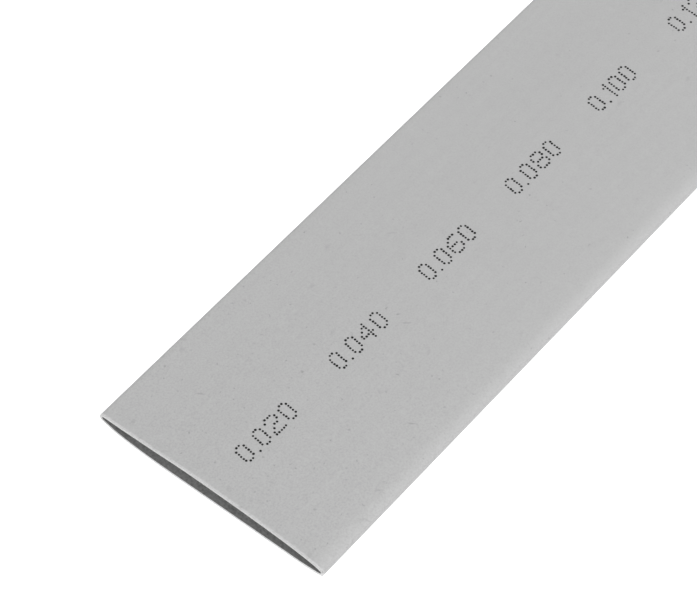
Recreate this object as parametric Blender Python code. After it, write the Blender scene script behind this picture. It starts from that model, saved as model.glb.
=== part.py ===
# Heat shrink tube: a metre of thin-walled sleeve as it is sold, pressed flat and cut square.
# It is one piece of stock. It lies on a level floor, its length along X, a crease along each side.
# Metres, +Z up. The origin is on the floor, below the middle of the tube.
import math

import bmesh
import bpy
from mathutils import Vector
from mathutils.geometry import interpolate_bezier

# The tube as it is sold, before it is shrunk
LENGTH = 1.0
BORE = 0.025
WALL = 0.00045

# How far apart the two walls lie at their widest: at the cut ends, and halfway along
MOUTH_GAP = 0.0025
MIDDLE_GAP = 0.0020

# The creases: the hollow inside the bend, and how far each is lifted off the floor at the mouth
CREASE_HOLLOW_RADIUS = 0.0003
RAISED_CREASE_LIFT = 0.0015
LOW_CREASE_LIFT = 0.0003

# The angles at which the walls leave their creases at the mouth, in degrees from level.
# Above the raised crease the upper wall leaves level.
RAISED_LOWER_SLOPE = 25.0
LOW_UPPER_SLOPE = 26.0
LOW_LOWER_SLOPE = 10.0

# Across the tube: the crown of the upper wall, and where the lower wall meets the floor
CROWN_OFFSET = 0.0030
RAISED_WALL_TO_FLOOR = 0.0125
LOW_WALL_TO_FLOOR = 0.0045

# How far each bend keeps the direction that it starts or ends in
SHOULDER_REACH = 0.0080
CROWN_REACH = 0.0040
CREASE_REACH = 0.0033

# How finely the curves are cut into flats
CREASE_STEPS = 6
BEND_STEPS = 9
LENGTH_STEPS = 16
FITTING_ROUNDS = 8

TUBE_COLOR = (0.40, 0.40, 0.40, 1.0)
TUBE_ROUGHNESS = 0.55

# Pressing the tube flat keeps the length of its wall once round
GIRTH = math.pi * (BORE + WALL)
CREASE_RADIUS = CREASE_HOLLOW_RADIUS + WALL / 2
FLOOR_LEVEL = WALL / 2


def heading(degrees):
    """The direction at this angle in the plane across the tube, turning from +Y to +Z."""
    angle = math.radians(degrees)
    return Vector((0, math.cos(angle), math.sin(angle)))


def crease(centre, first_facing, last_facing):
    """The bend of a crease. Its two angles are the ways that its ends face."""
    turn = (last_facing - first_facing) / CREASE_STEPS
    facings = [first_facing + turn * step for step in range(CREASE_STEPS + 1)]
    return [centre + heading(facing) * CREASE_RADIUS for facing in facings]


def bend(start, start_heading, start_reach, end, end_heading, end_reach):
    """A smooth wall from one point to another, with its direction set at both."""
    first_handle = start + heading(start_heading) * start_reach
    last_handle = end - heading(end_heading) * end_reach
    return interpolate_bezier(start, first_handle, last_handle, end, BEND_STEPS)


def wall_line(half_span, gap):
    """The middle of the wall, once round: round the raised crease, over the top, and back below.

    half_span is the distance from the middle to the centre of each crease.
    """
    openness = gap / MOUTH_GAP
    crease_floor = FLOOR_LEVEL + CREASE_RADIUS
    raised_centre = Vector((0, half_span, crease_floor + RAISED_CREASE_LIFT * openness))
    low_centre = Vector((0, -half_span, crease_floor + LOW_CREASE_LIFT * openness))
    crown = Vector((0, CROWN_OFFSET, FLOOR_LEVEL + WALL + gap))
    floor_start = Vector((0, LOW_WALL_TO_FLOOR - half_span, FLOOR_LEVEL))
    floor_end = Vector((0, half_span - RAISED_WALL_TO_FLOOR, FLOOR_LEVEL))
    raised_lower = RAISED_LOWER_SLOPE * openness
    low_upper = LOW_UPPER_SLOPE * openness
    low_lower = LOW_LOWER_SLOPE * openness

    raised_crease = crease(raised_centre, raised_lower - 90, 90)
    low_crease = crease(low_centre, 90 + low_upper, 270 - low_lower)
    shoulder = bend(raised_crease[-1], 180, SHOULDER_REACH, crown, 180, CROWN_REACH)
    slope = bend(crown, 180, CROWN_REACH, low_crease[0], 180 + low_upper, CREASE_REACH)
    low_reach = LOW_WALL_TO_FLOOR / 3
    low_foot = bend(low_crease[-1], -low_lower, low_reach, floor_start, 0, low_reach)
    raised_reach = RAISED_WALL_TO_FLOOR / 3
    raised_foot = bend(floor_end, 0, raised_reach, raised_crease[0], raised_lower, CREASE_REACH)

    # Each stretch ends where the next one starts, so its last point is left to the next
    stretches = (raised_crease, shoulder, slope, low_crease, low_foot, (floor_start, floor_end), raised_foot)
    return [point for stretch in stretches for point in stretch[:-1]]


def length_round(line):
    return sum((line[index] - line[index - 1]).length for index in range(len(line)))


def fitted_wall_line(gap):
    """The wall line as wide as it has to be to keep the girth."""
    half_span = GIRTH / 4
    for _ in range(FITTING_ROUNDS):
        half_span += (GIRTH - length_round(wall_line(half_span, gap))) / 4
    return wall_line(half_span, gap)


def gap_at(share):
    """The gap between the walls at a share of the length: widest and steady at both mouths."""
    nearness_to_mouth = (1 + math.cos(2 * math.pi * share)) / 2
    return MIDDLE_GAP + (MOUTH_GAP - MIDDLE_GAP) * nearness_to_mouth


def station(mesh, share):
    """One closed ring of the wall's middle, at a share of the length."""
    place = Vector((LENGTH * (share - 0.5), 0, 0))
    return [mesh.verts.new(place + point) for point in fitted_wall_line(gap_at(share))]


def add_tube():
    mesh = bmesh.new()
    rings = [station(mesh, step / LENGTH_STEPS) for step in range(LENGTH_STEPS + 1)]
    for ring, next_ring in zip(rings, rings[1:]):
        for index in range(len(ring)):
            mesh.faces.new((ring[index - 1], ring[index], next_ring[index], next_ring[index - 1]))
    for face in mesh.faces:
        face.smooth = True
    for edge in mesh.edges:
        edge.smooth = not edge.is_boundary
    data = bpy.data.meshes.new("shrink_tube")
    mesh.to_mesh(data)
    mesh.free()

    tube = bpy.data.objects.new("shrink_tube", data)
    bpy.context.scene.collection.objects.link(tube)
    thickness = tube.modifiers.new("Wall", "SOLIDIFY")
    thickness.thickness = WALL
    thickness.offset = 0
    thickness.use_even_offset = True
    thickness.use_quality_normals = True
    data.materials.append(tube_material())


def tube_material():
    """Soft matt polyolefin, grey all through."""
    material = bpy.data.materials.new("polyolefin")
    material.use_nodes = True
    shader = material.node_tree.nodes["Principled BSDF"]
    shader.inputs["Base Color"].default_value = TUBE_COLOR
    shader.inputs["Roughness"].default_value = TUBE_ROUGHNESS
    shader.inputs["Metallic"].default_value = 0
    return material


def clear_scene():
    for leftover in list(bpy.data.objects):
        bpy.data.objects.remove(leftover)


clear_scene()
add_tube()
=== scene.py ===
import math

import bpy
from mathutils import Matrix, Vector
from mathutils.geometry import interpolate_bezier


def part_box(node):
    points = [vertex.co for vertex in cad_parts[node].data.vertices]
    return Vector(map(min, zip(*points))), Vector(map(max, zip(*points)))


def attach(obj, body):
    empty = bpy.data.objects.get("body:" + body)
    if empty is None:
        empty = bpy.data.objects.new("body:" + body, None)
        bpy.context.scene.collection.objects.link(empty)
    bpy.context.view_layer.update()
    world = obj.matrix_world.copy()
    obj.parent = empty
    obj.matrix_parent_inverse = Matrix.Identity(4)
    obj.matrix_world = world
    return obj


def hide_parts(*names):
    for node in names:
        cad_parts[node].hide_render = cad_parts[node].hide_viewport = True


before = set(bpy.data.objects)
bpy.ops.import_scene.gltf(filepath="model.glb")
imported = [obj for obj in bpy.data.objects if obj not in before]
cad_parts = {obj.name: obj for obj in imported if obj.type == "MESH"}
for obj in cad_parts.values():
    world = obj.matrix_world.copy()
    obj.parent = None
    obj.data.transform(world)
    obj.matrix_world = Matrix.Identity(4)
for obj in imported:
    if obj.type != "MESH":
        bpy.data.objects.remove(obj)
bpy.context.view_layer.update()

# The camera looks down on one cut end from beside the low crease, as if the tube lay on a table.
# A long lens keeps the two creases nearly parallel. The far end runs out of the picture.
CAMERA_PLACE = Vector((-0.69161, -0.17962, 0.39265))
CAMERA_AIM = Vector((-0.46211, 0.00662, 0.0))
CAMERA_LENS = 179.67
SENSOR_WIDTH = 36.0
NEAREST_SEEN = 0.01
FARTHEST_SEEN = 100.0

camera_data = bpy.data.cameras.new("camera")
camera_data.lens = CAMERA_LENS
camera_data.sensor_width = SENSOR_WIDTH
camera_data.clip_start = NEAREST_SEEN
camera_data.clip_end = FARTHEST_SEEN
camera = bpy.data.objects.new("camera", camera_data)
camera.location = CAMERA_PLACE
camera.rotation_mode = "QUATERNION"
camera.rotation_quaternion = (CAMERA_AIM - CAMERA_PLACE).to_track_quat("-Z", "Y")
bpy.context.scene.collection.objects.link(camera)
bpy.context.scene.camera = camera

# The table is a plain white board, lit from within so that no shadow shows on it. A white tent
# lights the tube all round. A broad lamp shines from beside the low crease, and another from behind
# and above.
WHITE = (1.0, 1.0, 1.0, 1.0)
TENT_LIGHT = 0.66
TENT_SEEN = 1.0
KEY_STRENGTH = 1.35
KEY_SPREAD = math.radians(50)
KEY_FROM = Vector((0.25, -0.80, 0.80))
BACK_STRENGTH = 1.5
BACK_SPREAD = math.radians(80)
BACK_FROM = Vector((0.60, 0.05, 0.90))
BOARD_SIZE = 30.0
BOARD_DROP = 0.00005
BOARD_GREY = (0.35, 0.35, 0.35, 1.0)
BOARD_ROUGHNESS = 0.9
BOARD_GLOW = 1.0

bpy.context.scene.view_settings.view_transform = "Standard"
tent = bpy.data.worlds.new("tent")
tent.use_nodes = True
tent_tree = tent.node_tree
tent_light = tent_tree.nodes["Background"]
tent_light.inputs["Color"].default_value = WHITE
tent_light.inputs["Strength"].default_value = TENT_LIGHT
tent_wall = tent_tree.nodes.new("ShaderNodeBackground")
tent_wall.inputs["Color"].default_value = WHITE
tent_wall.inputs["Strength"].default_value = TENT_SEEN
rays = tent_tree.nodes.new("ShaderNodeLightPath")
either = tent_tree.nodes.new("ShaderNodeMixShader")
tent_tree.links.new(rays.outputs["Is Camera Ray"], either.inputs["Fac"])
tent_tree.links.new(tent_light.outputs["Background"], either.inputs[1])
tent_tree.links.new(tent_wall.outputs["Background"], either.inputs[2])
tent_tree.links.new(either.outputs["Shader"], tent_tree.nodes["World Output"].inputs["Surface"])
bpy.context.scene.world = tent

for lamp_name, strength, spread, source in (
    ("key_lamp", KEY_STRENGTH, KEY_SPREAD, KEY_FROM),
    ("back_lamp", BACK_STRENGTH, BACK_SPREAD, BACK_FROM),
):
    lamp_data = bpy.data.lights.new(lamp_name, "SUN")
    lamp_data.energy = strength
    lamp_data.angle = spread
    lamp = bpy.data.objects.new(lamp_name, lamp_data)
    lamp.rotation_mode = "QUATERNION"
    lamp.rotation_quaternion = source.to_track_quat("Z", "Y")
    bpy.context.scene.collection.objects.link(lamp)

board_paint = bpy.data.materials.new("board_paint")
board_paint.use_nodes = True
board_shader = board_paint.node_tree.nodes["Principled BSDF"]
board_shader.inputs["Base Color"].default_value = BOARD_GREY
board_shader.inputs["Roughness"].default_value = BOARD_ROUGHNESS
board_shader.inputs["Emission Color"].default_value = WHITE
board_shader.inputs["Emission Strength"].default_value = BOARD_GLOW
board_mesh = bpy.data.meshes.new("board")
board_half = BOARD_SIZE / 2
board_mesh.from_pydata(
    [
        (-board_half, -board_half, 0),
        (board_half, -board_half, 0),
        (board_half, board_half, 0),
        (-board_half, board_half, 0),
    ],
    [],
    [(0, 1, 2, 3)],
)
board_mesh.materials.append(board_paint)
board = bpy.data.objects.new("board", board_mesh)
board.location.z = -BOARD_DROP
bpy.context.scene.collection.objects.link(board)

# The sleeve is one extruded wall of soft grey polyolefin, blown wide, then rolled flat hot so that
# it keeps a crease along each side. It is cut to length with a knife, which leaves a pale lip; its
# paleness is partly a painted highlight of the rounded cut edge.
BORE = 0.025
WALL = 0.00045
MOUTH_GAP = 0.0025
MIDDLE_GAP = 0.0020
CREASE_HOLLOW_RADIUS = 0.0003
RAISED_CREASE_LIFT = 0.0015
LOW_CREASE_LIFT = 0.0003
RAISED_LOWER_SLOPE = 25.0
LOW_UPPER_SLOPE = 26.0
LOW_LOWER_SLOPE = 10.0
CROWN_OFFSET = 0.0030
RAISED_WALL_TO_FLOOR = 0.0125
LOW_WALL_TO_FLOOR = 0.0045
SHOULDER_REACH = 0.0080
CROWN_REACH = 0.0040
CREASE_REACH = 0.0033
FOOT_REACH_SHARE = 1 / 3
CREASE_STEPS = 20
BEND_STEPS = 36
FLOOR_STEPS = 12
LENGTH_STATIONS = 81
FITTING_ROUNDS = 8

GIRTH = math.pi * (BORE + WALL)
CREASE_RADIUS = CREASE_HOLLOW_RADIUS + WALL / 2
FLOOR_LEVEL = WALL / 2
TUBE_LOW, TUBE_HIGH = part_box("shrink_tube")
TUBE_LENGTH = TUBE_HIGH.x - TUBE_LOW.x


def heading(degrees):
    """The direction at this angle in the plane across the tube, turning from +Y to +Z."""
    angle = math.radians(degrees)
    return Vector((0, math.cos(angle), math.sin(angle)))


def crease(centre, first_facing, last_facing):
    """The bend of a crease. Its two angles are the ways that its ends face."""
    turn = (last_facing - first_facing) / CREASE_STEPS
    facings = [first_facing + turn * step for step in range(CREASE_STEPS + 1)]
    return [centre + heading(facing) * CREASE_RADIUS for facing in facings]


def bend(start, start_heading, start_reach, end, end_heading, end_reach):
    """A smooth wall from one point to another, with its direction set at both."""
    first_handle = start + heading(start_heading) * start_reach
    last_handle = end - heading(end_heading) * end_reach
    return interpolate_bezier(start, first_handle, last_handle, end, BEND_STEPS)


def wall_line(half_span, gap):
    """The middle of the wall, once round, with its two walls this far apart at the crown."""
    openness = gap / MOUTH_GAP
    crease_floor = FLOOR_LEVEL + CREASE_RADIUS
    raised_centre = Vector((0, half_span, crease_floor + RAISED_CREASE_LIFT * openness))
    low_centre = Vector((0, -half_span, crease_floor + LOW_CREASE_LIFT * openness))
    crown = Vector((0, CROWN_OFFSET, FLOOR_LEVEL + WALL + gap))
    floor_start = Vector((0, LOW_WALL_TO_FLOOR - half_span, FLOOR_LEVEL))
    floor_end = Vector((0, half_span - RAISED_WALL_TO_FLOOR, FLOOR_LEVEL))
    raised_lower = RAISED_LOWER_SLOPE * openness
    low_upper = LOW_UPPER_SLOPE * openness
    low_lower = LOW_LOWER_SLOPE * openness

    raised_crease = crease(raised_centre, raised_lower - 90, 90)
    low_crease = crease(low_centre, 90 + low_upper, 270 - low_lower)
    shoulder = bend(raised_crease[-1], 180, SHOULDER_REACH, crown, 180, CROWN_REACH)
    slope = bend(crown, 180, CROWN_REACH, low_crease[0], 180 + low_upper, CREASE_REACH)
    low_reach = LOW_WALL_TO_FLOOR * FOOT_REACH_SHARE
    low_foot = bend(low_crease[-1], -low_lower, low_reach, floor_start, 0, low_reach)
    floor = [floor_start.lerp(floor_end, step / FLOOR_STEPS) for step in range(FLOOR_STEPS + 1)]
    raised_reach = RAISED_WALL_TO_FLOOR * FOOT_REACH_SHARE
    raised_foot = bend(floor_end, 0, raised_reach, raised_crease[0], raised_lower, CREASE_REACH)
    stretches = (raised_crease, shoulder, slope, low_crease, low_foot, floor, raised_foot)
    return [point for stretch in stretches for point in stretch[:-1]]


def fitted_wall_line(gap):
    """The wall line as wide as it has to be to keep the round tube's girth."""
    half_span = GIRTH / 4
    for _ in range(FITTING_ROUNDS):
        line = wall_line(half_span, gap)
        length = sum((line[index] - line[index - 1]).length for index in range(len(line)))
        half_span += (GIRTH - length) / 4
    return wall_line(half_span, gap)


class Wire:
    """A socket that gives a value. Sums on it add Math nodes, and make() adds any other node."""

    def __init__(self, tree, socket=None):
        self.tree = tree
        self.socket = socket

    def make(self, kind, settings, inputs, output=0):
        """A node of this kind: its settings first, then the values or wires of its inputs."""
        node = self.tree.nodes.new(kind)
        for setting, value in settings.items():
            setattr(node, setting, value)
        for entry, value in inputs.items():
            for part in value if isinstance(value, list) else [value]:
                if isinstance(part, Wire):
                    part.feed(node, entry)
                else:
                    node.inputs[entry].default_value = part
        return Wire(self.tree, node.outputs[output])

    def feed(self, node, entry):
        """Leads this value into an input of a node."""
        self.tree.links.new(self.socket, node.inputs[entry])

    def beside(self, output):
        """Another output of the same node."""
        return Wire(self.tree, self.socket.node.outputs[output])

    def math(self, operation, *values):
        """A Math node on these values."""
        return self.make("ShaderNodeMath", {"operation": operation}, dict(enumerate(values)))

    def __add__(self, other):
        return self.math("ADD", self, other)

    def __sub__(self, other):
        return self.math("SUBTRACT", self, other)

    def __rsub__(self, other):
        return self.math("SUBTRACT", other, self)

    def __mul__(self, other):
        return self.math("MULTIPLY", self, other)

    def __truediv__(self, other):
        return self.math("DIVIDE", self, other)

    def __pow__(self, other):
        return self.math("POWER", self, other)

    def __abs__(self):
        return self.math("ABSOLUTE", self)

    __radd__ = __add__
    __rmul__ = __mul__


def grow(thing, name, sizes):
    """Puts a new node tree on a thing, with an input for its shape and one for each size."""
    sockets = {float: "NodeSocketFloat", int: "NodeSocketInt"}
    sockets[bpy.types.Object] = "NodeSocketObject"
    sockets[bpy.types.Material] = "NodeSocketMaterial"
    tree = bpy.data.node_groups.new(name, "GeometryNodeTree")
    tree.interface.new_socket("Shape", in_out="OUTPUT", socket_type="NodeSocketGeometry")
    tree.interface.new_socket("Shape", in_out="INPUT", socket_type="NodeSocketGeometry")
    places = {}
    for label, value in sizes.items():
        kind = sockets[type(value)]
        places[label] = tree.interface.new_socket(label, in_out="INPUT", socket_type=kind)
    modifier = thing.modifiers.new(name, "NODES")
    modifier.node_group = tree
    for label, value in sizes.items():
        modifier[places[label].identifier] = value
    source = tree.nodes.new("NodeGroupInput")
    return {socket.name: Wire(tree, socket) for socket in source.outputs if socket.name}


def settle(thing, shape, finish):
    """Ends a thing's node tree with this shape and finish, and keeps the result as a plain mesh."""
    real = shape.make("GeometryNodeRealizeInstances", {}, {"Geometry": shape})
    worn = real.make("GeometryNodeSetMaterial", {}, {"Geometry": real, "Material": finish})
    worn.feed(worn.tree.nodes.new("NodeGroupOutput"), "Shape")
    graph = bpy.context.evaluated_depsgraph_get()
    plain = bpy.data.meshes.new_from_object(
        thing.evaluated_get(graph), preserve_all_data_layers=True, depsgraph=graph
    )
    worn_finish = plain.materials[-1]
    plain.materials.clear()
    plain.materials.append(worn_finish)
    thing.modifiers.clear()
    thing.data = plain


# The plastic is grey all through, matt, with fine grain and mottling from the die, faint lines
# along the length, dark specks of filler and a few nicks. The knife's cut is pale. The lip is pale
# from the knife's whitening and from a painted highlight of the rounded edge. The lining's grey
# holds painted shade near each mouth and painted light deeper in.
TUBE_GREY = 0.324
# Lip grey: the knife's whitening and a painted highlight of the rounded cut edge
LIP_WHITENING_AND_HIGHLIGHT_GREY = 0.42
LIP_WIDTH = 0.00043
LIP_CORE = 1 / 3
# The lining is painted paler deep inside, as painted light, and darker near each mouth, as painted
# shade
HOLLOW_GREY_PAINTED_PALER = 0.51
HOLLOW_PAINTED_SHADE_AT_LIP = 0.285
HOLLOW_PAINTED_SHADE_REACH = 0.0025
HOLLOW_COARSENESS = 2.6
PLASTIC_ROUGHNESS = 0.55
PLASTIC_IOR = 1.5
# The lower wall's cut face is painted paler near the bench, as painted light from the glowing board,
# and the wall is painted lighter towards the low crease, as painted light from the key lamp's side.
# Each goes from one place across the tube to another.
CUT_GREY = 0.55
# Painted light: the lower wall's cut face is painted paler near the board, as if lit by its glow
CUT_GREY_PAINTED_GLOW = 0.72
CUT_GLOW_STARTS_BELOW = 0.0012
CUT_GLOW_FULL_BELOW = 0.0004
# Painted light: the wall is painted lighter towards the low crease, on the key lamp's side
CREASE_PAINTED_LIGHT = 0.027
PAINTED_LIGHT_FROM = -0.0173
PAINTED_LIGHT_FULLEST_FROM = -0.0196
# Of each uneven thing: how many features it has to the metre, in how much detail, and how strong
# it is, which for the ragged lip is a length
CLOSE_MOTTLING = (700.0, 3.0, 0.065)
BROAD_MOTTLING = (160.0, 2.0, 0.03)
DIE_LINES = (900.0, 2.0, 0.05)
UNEVEN_GLOSS = (400.0, 2.0, 0.12)
RAGGED_LIP = (1500.0, 3.0, 0.00030)
DIE_LINE_ELONGATION = 50
# The pits and the relief: their features to the metre and their detail
PITS = (3600.0, 2.0)
PIT_DEPTH = 0.31
PIT_MEAN = 0.25
FINE_RELIEF = (3000.0, 3.0)
BROAD_RELIEF = (500.0, 2.0)
BROAD_RELIEF_SHARE = 0.6
RELIEF_STRENGTH = 0.25
RELIEF_HEIGHT = 0.00004
# Of each kind of dark mark: its spacing and half width, how many times longer than wide it is and
# at what angle to the tube, the share of places that have one, how dark the darkest is, and how
# much rarer the dark ones are
FINE_SPECKS = (0.0016, 0.00019, 1.0, 0, 0.85, 0.29, 5.5)
SOFT_SPECKS = (0.0045, 0.00045, 1.6, -25, 0.60, 0.10, 3.0)
NICKS = (0.0060, 0.00022, 4.5, 51, 0.40, 0.22, 2.0)
MARK_CORE = 0.3
MARK_WAVES = (900.0, 1.0)
MARK_WANDER = 0.0009
# How far from a cut end the skin is rubbed by handling, and how many marks and how much grain it
# has there and elsewhere
HANDLED_REACH = 0.075
MARKS_AT_END, MARKS_ELSEWHERE = 1.9, 0.38
GRAIN_AT_END, GRAIN_ELSEWHERE = 1.20, 0.55


def noise(vector, scale, detail):
    """Soft random shade about a half, with this many features to the metre."""
    return vector.make("ShaderNodeTexNoise", {}, {"Vector": vector, "Scale": scale, "Detail": detail})


def unevenness(vector, scale, detail, amount):
    """Soft random variation about nothing, at most this much from its lowest to its highest."""
    return (noise(vector, scale, detail) - 0.5) * amount


def passage(value, start, end, first=0.0, last=1.0, course="LINEAR"):
    """Goes from the first level to the last while a value goes from start to end, and no further."""
    return value.make(
        "ShaderNodeMapRange",
        {"interpolation_type": course},
        {"Value": value, "From Min": start, "From Max": end, "To Min": first, "To Max": last},
    )


def grey(level):
    """The plain grey of this level."""
    return level.make("ShaderNodeCombineColor", {}, {"Red": level, "Green": level, "Blue": level})


polyolefin = bpy.data.materials.new("matt_polyolefin")
polyolefin.use_nodes = True
plastic = Wire(polyolefin.node_tree)
place = plastic.make("ShaderNodeTexCoord", {}, {}, "Object")
unrolled = plastic.make("ShaderNodeUVMap", {"uv_map": "unrolled"}, {})
place_x = plastic.make("ShaderNodeSeparateXYZ", {}, {"Vector": place}, "X")
place_y = place_x.beside("Y")
place_z = place_x.beside("Z")
from_end = TUBE_LENGTH / 2 - abs(place_x)
cut = plastic.make("ShaderNodeAttribute", {"attribute_name": "cut"}, {}, "Fac")
hollow = plastic.make("ShaderNodeAttribute", {"attribute_name": "hollow"}, {}, "Fac")

handled = passage(from_end, 0.0, HANDLED_REACH, 1.0, 0.0, "SMOOTHSTEP")
grain_share = GRAIN_ELSEWHERE + handled * (GRAIN_AT_END - GRAIN_ELSEWHERE)
mark_share = MARKS_ELSEWHERE + handled * (MARKS_AT_END - MARKS_ELSEWHERE)
mottling = unevenness(place, *CLOSE_MOTTLING) + unevenness(place, *BROAD_MOTTLING)
pit = 1.0 - noise(place, *PITS)
grain = (PIT_MEAN - pit * pit) * PIT_DEPTH * grain_share
drawn_out = plastic.make(
    "ShaderNodeMapping",
    {"vector_type": "POINT"},
    {"Vector": place, "Scale": (1 / DIE_LINE_ELONGATION, 1, 1)},
)
die_lines = unevenness(drawn_out, *DIE_LINES)
strayed = plastic.make(
    "ShaderNodeVectorMath",
    {"operation": "MULTIPLY_ADD"},
    {0: noise(place, *MARK_WAVES).beside("Color"), 1: (MARK_WANDER, MARK_WANDER, 0), 2: unrolled},
)


def dark_marks(spacing, half_width, elongation, angle, share, darkness, rarity):
    """How much one kind of mark darkens each place on the skin."""
    laid = strayed.make(
        "ShaderNodeMapping",
        {"vector_type": "TEXTURE"},
        {
            "Vector": strayed,
            "Rotation": (0, 0, math.radians(angle)),
            "Scale": (elongation, 1, 1),
        },
    )
    cells = laid.make(
        "ShaderNodeTexVoronoi",
        {"voronoi_dimensions": "2D"},
        {"Vector": laid, "Scale": 1 / spacing},
        "Distance",
    )
    chance = cells.make("ShaderNodeSeparateColor", {}, {"Color": cells.beside("Color")}, "Red")
    edge = half_width / spacing
    mark = passage(cells, edge, edge * MARK_CORE)
    rank = passage(chance, 1.0 - mark_share * share, 1.0)
    return mark * rank ** rarity * darkness


marks = dark_marks(*FINE_SPECKS) + dark_marks(*SOFT_SPECKS) + dark_marks(*NICKS)
texture = (mottling + grain) * (1.0 + hollow * HOLLOW_COARSENESS)
tone = (1.0 + texture + die_lines) * (1.0 - marks)
# Painted light towards the low crease
crease_painted_light = passage(place_y, PAINTED_LIGHT_FROM, PAINTED_LIGHT_FULLEST_FROM, 0.0, CREASE_PAINTED_LIGHT, "SMOOTHSTEP")
# Painted highlight, with the knife's whitening, along the lip
lip_whitening_and_highlight = passage(from_end + unevenness(place, *RAGGED_LIP), LIP_WIDTH, LIP_WIDTH * LIP_CORE)
# Painted shade near each mouth and painted light deeper in the lining
hollow_painted_shade_and_light = passage(from_end, 0.0, HOLLOW_PAINTED_SHADE_REACH, HOLLOW_PAINTED_SHADE_AT_LIP, HOLLOW_GREY_PAINTED_PALER)
# Painted light from the board's glow on the lower cut face
cut_grey_with_painted_glow = passage(place_z, CUT_GLOW_STARTS_BELOW, CUT_GLOW_FULL_BELOW, CUT_GREY, CUT_GREY_PAINTED_GLOW)
outside = TUBE_GREY + lip_whitening_and_highlight * (LIP_WHITENING_AND_HIGHLIGHT_GREY - TUBE_GREY) + crease_painted_light
walled = outside + hollow * (hollow_painted_shade_and_light - outside)
shade = (walled + cut * (cut_grey_with_painted_glow - walled)) * tone
gloss = PLASTIC_ROUGHNESS + unevenness(place, *UNEVEN_GLOSS)
relief = noise(place, *FINE_RELIEF) + noise(place, *BROAD_RELIEF) * BROAD_RELIEF_SHARE
bump = plastic.make(
    "ShaderNodeBump",
    {},
    {"Height": relief, "Strength": RELIEF_STRENGTH, "Distance": RELIEF_HEIGHT},
    "Normal",
)
plastic_shader = polyolefin.node_tree.nodes["Principled BSDF"]
grey(shade).feed(plastic_shader, "Base Color")
gloss.feed(plastic_shader, "Roughness")
bump.feed(plastic_shader, "Normal")
plastic_shader.inputs["IOR"].default_value = PLASTIC_IOR

# The line of the wall, more open at the mouths than halfway along, is drawn out along the tube and
# given its thickness. The knife wanders a little, so both cut ends are slightly uneven.
END_BAND = 0.001
KNIFE_WANDER = 0.00004
KNIFE_WAVES_PER_METRE = 260.0
KNIFE_WAVE_DETAIL = 2.0
WELD_DISTANCE = 0.000001

line_at_mouth = fitted_wall_line(MOUTH_GAP)
line_at_middle = fitted_wall_line(MIDDLE_GAP)
points_round = range(len(line_at_mouth))
steps_round = [(line_at_mouth[index] - line_at_mouth[index - 1]).length for index in points_round]
sleeve_mesh = bpy.data.meshes.new("sleeve")
sleeve_mesh.from_pydata(
    [(point.y, point.z, 0) for point in line_at_mouth],
    [(index, (index + 1) % len(points_round)) for index in points_round],
    [],
)
for line_name, line in (("at_mouth", line_at_mouth), ("at_middle", line_at_middle)):
    line_places = sleeve_mesh.attributes.new(line_name, "FLOAT_VECTOR", "POINT")
    line_places.data.foreach_set("vector", [value for point in line for value in point])
ways_round = sleeve_mesh.attributes.new("way_round", "FLOAT", "POINT")
ways_round.data.foreach_set(
    "value", [sum(steps_round[1:index + 1]) / GIRTH for index in points_round]
)
sleeve = bpy.data.objects.new("sleeve", sleeve_mesh)
bpy.context.scene.collection.objects.link(sleeve)

drawn = grow(sleeve, "drawn_sleeve", {
    "Length": TUBE_LENGTH,
    "Wall": WALL,
    "Stations": LENGTH_STATIONS,
    "Plastic": polyolefin,
})
die = Wire(drawn["Shape"].tree)
half = drawn["Length"] / 2
first_end = die.make("ShaderNodeCombineXYZ", {}, {"X": 0 - half})
last_end = die.make("ShaderNodeCombineXYZ", {}, {"X": half})
bare_axis = die.make(
    "GeometryNodeCurvePrimitiveLine", {"mode": "POINTS"}, {"Start": first_end, "End": last_end}
)
axis = die.make(
    "GeometryNodeResampleCurve", {"mode": "COUNT"}, {"Curve": bare_axis, "Count": drawn["Stations"]}
)
section = die.make("GeometryNodeMeshToCurve", {}, {"Mesh": drawn["Shape"]})
swept = die.make("GeometryNodeCurveToMesh", {}, {"Curve": axis, "Profile Curve": section})

position = die.make("GeometryNodeInputPosition", {}, {})
station = die.make("ShaderNodeSeparateXYZ", {}, {"Vector": position}, "X")
pressed = (1 + die.math("COSINE", station / drawn["Length"] * math.tau)) / 2
vector_field = {"data_type": "FLOAT_VECTOR"}
mouth = die.make("GeometryNodeInputNamedAttribute", vector_field, {"Name": "at_mouth"})
middle = die.make("GeometryNodeInputNamedAttribute", vector_field, {"Name": "at_middle"})
across = die.make("ShaderNodeMix", {"data_type": "VECTOR"}, {0: pressed, 4: mouth, 5: middle}, 1)
at_end = die.math("GREATER_THAN", abs(station), half - END_BAND)
knife = noise(across, KNIFE_WAVES_PER_METRE, KNIFE_WAVE_DETAIL)
trimmed = station * (1 - at_end * knife * KNIFE_WANDER / half)
reach = die.make("ShaderNodeCombineXYZ", {}, {"X": trimmed})
spot = die.make("ShaderNodeVectorMath", {"operation": "ADD"}, {0: across, 1: reach})
middle_wall = die.make("GeometryNodeSetPosition", {}, {"Geometry": swept, "Position": spot})

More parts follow.
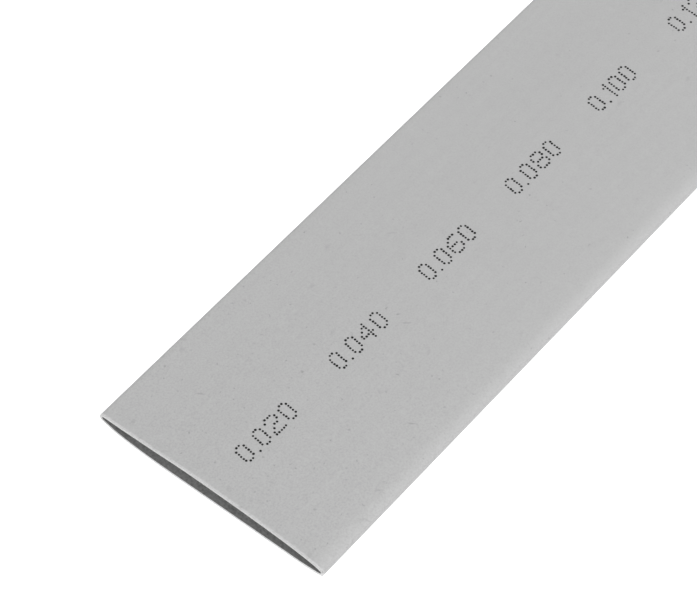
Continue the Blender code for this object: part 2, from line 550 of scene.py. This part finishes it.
outward = die.make("GeometryNodeInputNormal", {}, {})
inward = die.make(
    "ShaderNodeVectorMath", {"operation": "SCALE"}, {"Vector": outward, "Scale": drawn["Wall"] * -0.5}
)
inner = die.make("GeometryNodeSetPosition", {}, {"Geometry": middle_wall, "Offset": inward})
outer = die.make(
    "GeometryNodeExtrudeMesh",
    {"mode": "FACES"},
    {"Mesh": inner, "Offset Scale": drawn["Wall"], "Individual": False},
)
mark_on_face = {"data_type": "FLOAT", "domain": "FACE"}
outer_cut = die.make(
    "GeometryNodeStoreNamedAttribute",
    mark_on_face,
    {"Geometry": outer, "Name": "cut", "Value": outer.beside("Side")},
)
turned_inner = die.make("GeometryNodeFlipFaces", {}, {"Mesh": inner})
lining = die.make(
    "GeometryNodeStoreNamedAttribute",
    mark_on_face,
    {"Geometry": turned_inner, "Name": "hollow", "Value": 1.0},
)
both_sides = die.make("GeometryNodeJoinGeometry", {}, {"Geometry": [lining, outer_cut]})
welded = die.make(
    "GeometryNodeMergeByDistance", {}, {"Geometry": both_sides, "Distance": WELD_DISTANCE}
)
settle(sleeve, welded, drawn["Plastic"])

# The wall unrolled: one map in metres for the marks, and one that lays it on a square, the stretches
# at the two mouths larger than the rest. Each stretch is a layer of the wall, its span along the
# tube as shares of the length, and its left, bottom, width and height on the square.
OUTSIDE, LINING, CUT = "outside", "lining", "cut"
STRETCHES = (
    (OUTSIDE, 0.0, 0.1, 0.000, 0.595, 0.497, 0.405),
    (OUTSIDE, 0.9, 1.0, 0.503, 0.595, 0.497, 0.405),
    (OUTSIDE, 0.1, 0.5, 0.000, 0.390, 1.000, 0.200),
    (OUTSIDE, 0.5, 0.9, 0.000, 0.185, 1.000, 0.200),
    (LINING, 0.0, 0.1, 0.000, 0.100, 0.497, 0.080),
    (LINING, 0.9, 1.0, 0.503, 0.100, 0.497, 0.080),
    (LINING, 0.1, 0.9, 0.000, 0.025, 1.000, 0.070),
    (CUT, 0.0, 0.1, 0.000, 0.000, 0.497, 0.020),
    (CUT, 0.9, 1.0, 0.503, 0.000, 0.497, 0.020),
)
SHARP_ANGLE = math.radians(40)


def share_along(x):
    """How much of the tube's length lies before this place."""
    return x / TUBE_LENGTH + 0.5


sleeve_wall = sleeve.data
is_cut = [item.value > 0.5 for item in sleeve_wall.attributes["cut"].data]
is_lining = [item.value > 0.5 for item in sleeve_wall.attributes["hollow"].data]
way_round = [item.value for item in sleeve_wall.attributes["way_round"].data]
faces = sleeve_wall.polygons
lining_points = {vertex for face in faces if is_lining[face.index] for vertex in face.vertices}
metre_map = sleeve_wall.uv_layers.new(name="unrolled")
square_map = sleeve_wall.uv_layers.new(name="OFBake")
for face in faces:
    ways = [way_round[vertex] for vertex in face.vertices]
    if max(ways) - min(ways) > 0.5:
        ways = [way + 1 if way < 0.5 else way for way in ways]
    layer = LINING if is_lining[face.index] else CUT if is_cut[face.index] else OUTSIDE
    share = share_along(face.center.x)
    stretch = next(row for row in STRETCHES if row[0] == layer and row[1] <= share <= row[2])
    _, begin, finish, left, bottom, width, height = stretch
    for loop, vertex, way in zip(face.loop_indices, face.vertices, ways):
        x = sleeve_wall.vertices[vertex].co.x
        if layer == CUT:
            depth = WALL if vertex in lining_points else 0.0
            metre_map.uv[loop].vector = (x + depth, way * GIRTH)
            square_map.uv[loop].vector = (left + width * way, bottom + height * depth / WALL)
        else:
            metre_map.uv[loop].vector = (x, way * GIRTH)
            passed = (share_along(x) - begin) / (finish - begin)
            square_map.uv[loop].vector = (left + width * passed, bottom + height * way)
for used_up in ("at_mouth", "at_middle", "way_round"):
    sleeve_wall.attributes.remove(sleeve_wall.attributes[used_up])
sleeve_wall.shade_smooth()
sleeve_wall.set_sharp_from_angle(angle=SHARP_ANGLE)
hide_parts("shrink_tube")
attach(sleeve, "root")

# A plain length scale in metres runs along the middle of the upper wall, a figure every 20 mm. An
# ink jet puts it on as the tube is drawn past, so each figure is a slightly slanted grid of dots.
FIGURE_PITCH = 0.020
FIRST_FIGURE = 0.0065
COLUMN_PITCH = 0.00050
ROW_PITCH = 0.000465
MIDDLE_ROW = 3
GRID_MIDDLE = -0.00014
SLANT = 0.095
JET_HEIGHT = 0.001
JET_REACH = 0.010
DOT_RADIUS = 0.000185
DOT_DEPTH = 0.00004
DOT_JITTER = 0.00004
DOT_SMALLEST, DOT_LARGEST = 0.88, 1.12
DOT_SIDES = 8
JITTER_SEED, SWELL_SEED = 11, 12
INK_DARKEST = 0.004
INK_SPREAD = 0.016
INK_CLOUDS = (1500.0, 2.0)
INK_ROUGHNESS = 0.6
INK_SPECULAR = 0.15
FIGURE_GRIDS = {
    "0": "0110 1001 1001 1001 1001 1001 0110",
    "1": "01 11 01 01 01 01 01",
    "2": "01110 10001 00001 00110 01000 10000 11111",
    "3": "11110 00001 00001 01110 00001 00001 11110",
    "4": "00010 00110 01010 10010 11111 00010 00010",
    "5": "11111 10000 10000 11110 00001 00001 11110",
    "6": "00111 01000 10000 11110 10001 10001 01110",
    "7": "11111 00001 00010 00100 01000 01000 01000",
    "8": "01110 10001 10001 01110 10001 10001 01110",
    "9": "01110 10001 10001 01111 00001 00010 11100",
    ".": "0 0 0 0 0 0 1",
}

ink = bpy.data.materials.new("ink")
ink.use_nodes = True
ink_place = Wire(ink.node_tree).make("ShaderNodeTexCoord", {}, {}, "Object")
ink_shade = INK_DARKEST + noise(ink_place, *INK_CLOUDS) * INK_SPREAD
ink_shader = ink.node_tree.nodes["Principled BSDF"]
grey(ink_shade).feed(ink_shader, "Base Color")
ink_shader.inputs["Roughness"].default_value = INK_ROUGHNESS
ink_shader.inputs["Specular IOR Level"].default_value = INK_SPECULAR

drops = []
for number in range(1, round(TUBE_LENGTH / FIGURE_PITCH)):
    column_x = FIRST_FIGURE + (number - 1) * FIGURE_PITCH - TUBE_LENGTH / 2
    for character in f"{number * FIGURE_PITCH:.3f}":
        rows = FIGURE_GRIDS[character].split()
        for row_number, cells_in_row in enumerate(rows):
            for column, filled in enumerate(cells_in_row):
                if filled == "1":
                    rise = (MIDDLE_ROW - row_number) * ROW_PITCH
                    drop_x = column_x + column * COLUMN_PITCH + rise * SLANT
                    drops.append((drop_x, GRID_MIDDLE + rise, TUBE_HIGH.z + JET_HEIGHT))
        column_x += (len(rows[0]) + 1) * COLUMN_PITCH
drops_mesh = bpy.data.meshes.new("length_scale")
drops_mesh.from_pydata(drops, [], [])
length_scale = bpy.data.objects.new("length_scale", drops_mesh)
bpy.context.scene.collection.objects.link(length_scale)

jetted = grow(length_scale, "jetted_scale", {
    "Sleeve": sleeve,
    "Radius": DOT_RADIUS,
    "Depth": DOT_DEPTH,
    "Jitter": DOT_JITTER,
    "Sides": DOT_SIDES,
    "Ink": ink,
})
jet = Wire(jetted["Shape"].tree)
target = jet.make("GeometryNodeObjectInfo", {}, {"Object": jetted["Sleeve"]}, "Geometry")
any_way = jet.make(
    "FunctionNodeRandomValue", {"data_type": "FLOAT_VECTOR"}, {0: (-1, -1, 0), "Seed": JITTER_SEED}
)
astray = jet.make(
    "ShaderNodeVectorMath", {"operation": "SCALE"}, {"Vector": any_way, "Scale": jetted["Jitter"]}
)
sprayed = jet.make("GeometryNodeSetPosition", {}, {"Geometry": jetted["Shape"], "Offset": astray})
landing = jet.make(
    "GeometryNodeRaycast",
    {},
    {"Target Geometry": target, "Ray Direction": (0, 0, -1), "Ray Length": JET_REACH},
)
tilt = jet.make(
    "FunctionNodeAlignRotationToVector", {"axis": "Z"}, {"Vector": landing.beside("Hit Normal")}
)
tilted = jet.make(
    "GeometryNodeStoreNamedAttribute",
    {"data_type": "QUATERNION", "domain": "POINT"},
    {"Geometry": sprayed, "Name": "tilt", "Value": tilt},
)
landed = jet.make(
    "GeometryNodeSetPosition", {}, {"Geometry": tilted, "Position": landing.beside("Hit Position")}
)
dot = jet.make(
    "GeometryNodeMeshCylinder",
    {"fill_type": "NGON"},
    {"Vertices": jetted["Sides"], "Radius": jetted["Radius"], "Depth": jetted["Depth"]},
)
kept_tilt = jet.make(
    "GeometryNodeInputNamedAttribute", {"data_type": "QUATERNION"}, {"Name": "tilt"}
)
swell = jet.make(
    "FunctionNodeRandomValue",
    {"data_type": "FLOAT"},
    {2: DOT_SMALLEST, 3: DOT_LARGEST, "Seed": SWELL_SEED},
    1,
)
dots = jet.make(
    "GeometryNodeInstanceOnPoints",
    {},
    {"Points": landed, "Instance": dot, "Rotation": kept_tilt, "Scale": swell},
)
settle(length_scale, dots, jetted["Ink"])
length_scale.data.attributes.remove(length_scale.data.attributes["tilt"])
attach(length_scale, "root")
